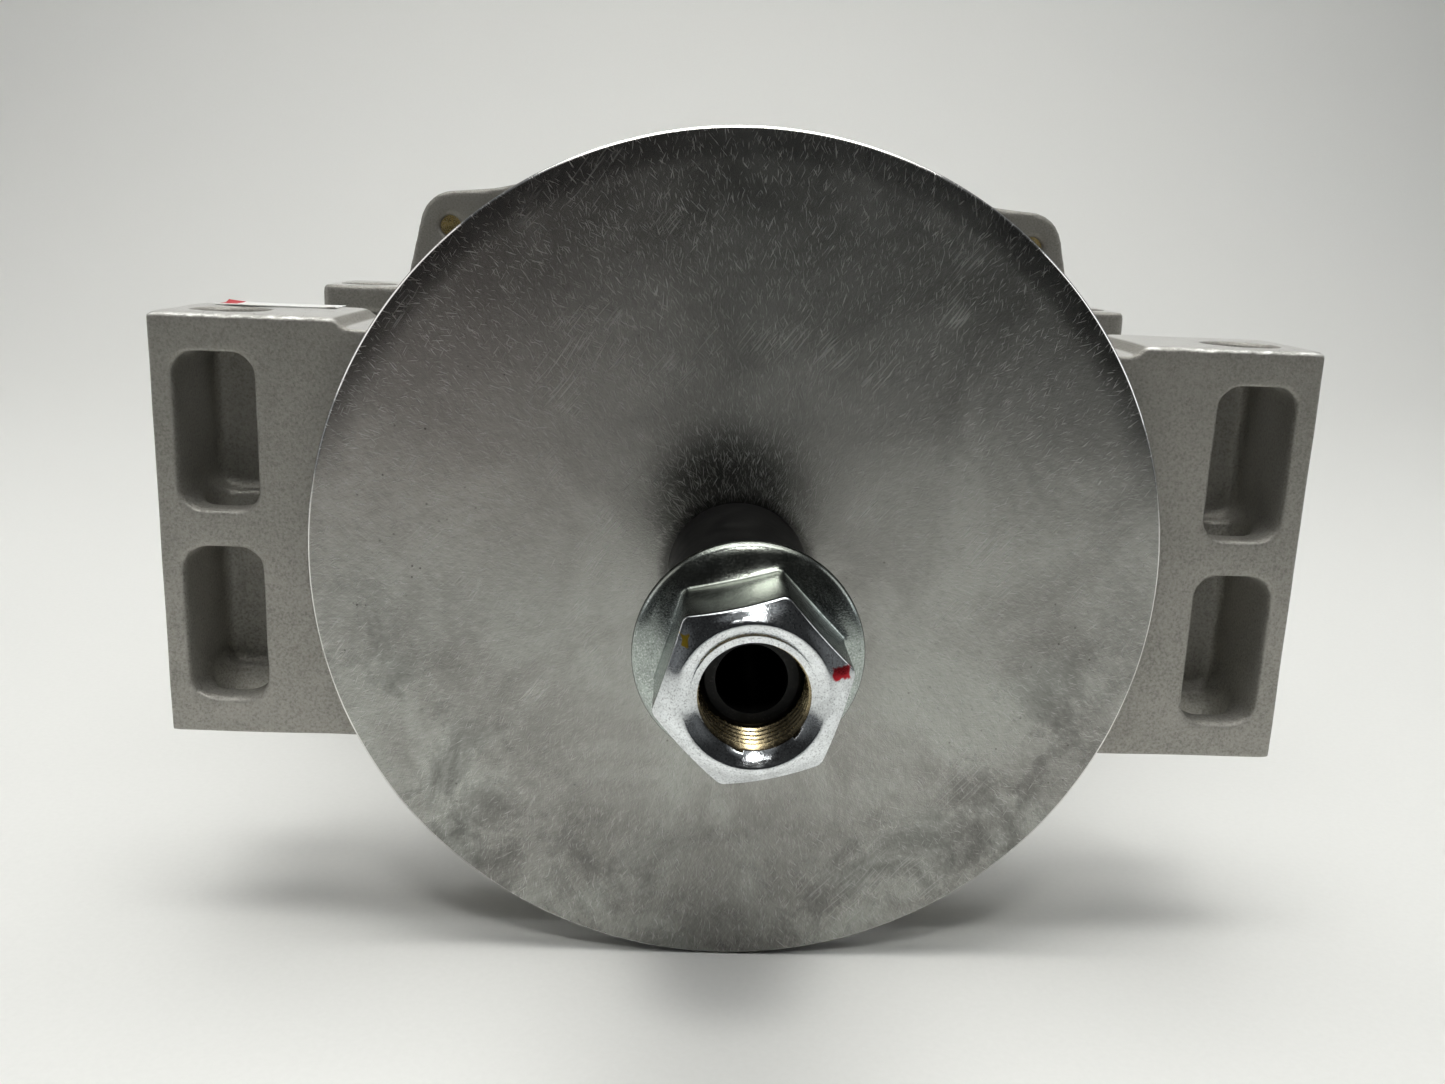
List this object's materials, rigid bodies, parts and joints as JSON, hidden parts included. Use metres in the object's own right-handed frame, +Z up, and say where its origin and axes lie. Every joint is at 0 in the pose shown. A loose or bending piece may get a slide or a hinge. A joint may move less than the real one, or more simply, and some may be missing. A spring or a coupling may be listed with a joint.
{
  "type": "rotary pneumatic actuator",
  "caption": "Twin-rack rotary pneumatic actuator: lugged aluminium castings, a large ground disc on a hollow shaft and a flanged nut on its nose.",
  "frame": {"origin": "on the shaft axis, in the plane of the output disc's front face", "axes": "-Y out of the shaft's nose, +Z up towards the lugs' machined pads, +X to the right seen from the front"},
  "size_m": [0.2146, 0.2713, 0.154],
  "materials": {
    "cast_aluminium": "as cast, fine sandy grain, machined pads",
    "machined_aluminium": "turned and bored",
    "ground_steel": "ground, scratched, with dark tarnish",
    "steel": "machined and oiled",
    "bearing_steel": "polished",
    "bronze": "sintered bronze",
    "black_steel": "black oxide, slightly glossy",
    "zinc_plate": "bright blue-white zinc",
    "yellow_zinc": "yellow passivated zinc",
    "rubber": "matte",
    "gasket": "fibre sheet",
    "wear_plastic": "filled plastic band"
  },
  "bodies": {
    "casing": {"front_housing": "cast_aluminium", "front_bearing_cap": "machined_aluminium", "bearing_cap_screws": "black_steel", "front_shaft_seal": "rubber", "front_bearing_outer_ring": "bearing_steel", "spindle_tube": "machined_aluminium", "spindle_tube_orings": "rubber", "tie_bolts": "zinc_plate", "rack_housing": "cast_aluminium", "rear_bearing_outer_ring": "bearing_steel", "rear_bearing_circlip": "black_steel", "rear_cover": "cast_aluminium", "rear_cover_gasket": "gasket", "rear_cover_screws": "yellow_zinc", "rear_bush": "bronze", "rear_shaft_seal": "rubber", "left_end_plugs": "machined_aluminium", "right_end_plugs": "machined_aluminium", "end_plug_orings": "rubber", "end_plug_circlips": "black_steel", "stroke_lock_nuts": "zinc_plate"},
    "rotor": {"output_shaft": "black_steel", "output_disc": "ground_steel", "disc_screws": "zinc_plate", "flange_nut": "zinc_plate", "pinion": "steel", "pinion_key": "steel", "pinion_circlip": "black_steel", "bearing_spacer_sleeve": "steel", "front_bearing_inner_ring": "bearing_steel", "rear_bearing_inner_ring": "bearing_steel"},
    "upper_piston_set": {"upper_rack": "steel", "upper_pistons": "machined_aluminium", "upper_piston_seals": "rubber", "upper_wear_bands": "wear_plastic", "upper_piston_screws": "black_steel"},
    "lower_piston_set": {"lower_rack": "steel", "lower_pistons": "machined_aluminium", "lower_piston_seals": "rubber", "lower_wear_bands": "wear_plastic", "lower_piston_screws": "black_steel"},
    "front_ball_set": {"front_bearing_balls": "bearing_steel", "front_bearing_cage": "bronze"},
    "rear_ball_set": {"rear_bearing_balls": "bearing_steel", "rear_bearing_cage": "bronze"},
    "upper_stroke_stop": {"upper_stroke_screw": "black_steel"},
    "lower_stroke_stop": {"lower_stroke_screw": "black_steel"}
  },
  "joints": [
    {"name": "output_turn", "type": "hinge", "parent": "casing", "child": "rotor", "pos_m": [0, 0, 0], "axis": [0, 1, 0], "range_deg": [-90, 90]},
    {"name": "upper_rack_slide", "type": "slide", "parent": "casing", "child": "upper_piston_set", "axis": [1, 0, 0], "range_m": [-0.02357, 0.02357]},
    {"name": "lower_rack_slide", "type": "slide", "parent": "casing", "child": "lower_piston_set", "axis": [1, 0, 0], "range_m": [-0.02357, 0.02357]},
    {"name": "front_cage_turn", "type": "hinge", "parent": "casing", "child": "front_ball_set", "pos_m": [0, 0.028, 0], "axis": [0, 1, 0], "range_deg": [-40, 40]},
    {"name": "rear_cage_turn", "type": "hinge", "parent": "casing", "child": "rear_ball_set", "pos_m": [0, 0.1295, 0], "axis": [0, 1, 0], "range_deg": [-40, 40]},
    {"name": "upper_stroke_adjust", "type": "slide", "parent": "casing", "child": "upper_stroke_stop", "axis": [1, 0, 0], "range_m": [0, 0.005]},
    {"name": "lower_stroke_adjust", "type": "slide", "parent": "casing", "child": "lower_stroke_stop", "axis": [1, 0, 0], "range_m": [0, 0.005]}
  ],
  "couplings": [
    {"joint": "upper_rack_slide", "follows": "output_turn", "m_per_rad": 0.015},
    {"joint": "lower_rack_slide", "follows": "output_turn", "m_per_rad": -0.015},
    {"joint": "front_cage_turn", "follows": "output_turn", "ratio": 0.3965},
    {"joint": "rear_cage_turn", "follows": "output_turn", "ratio": 0.416}
  ]
}
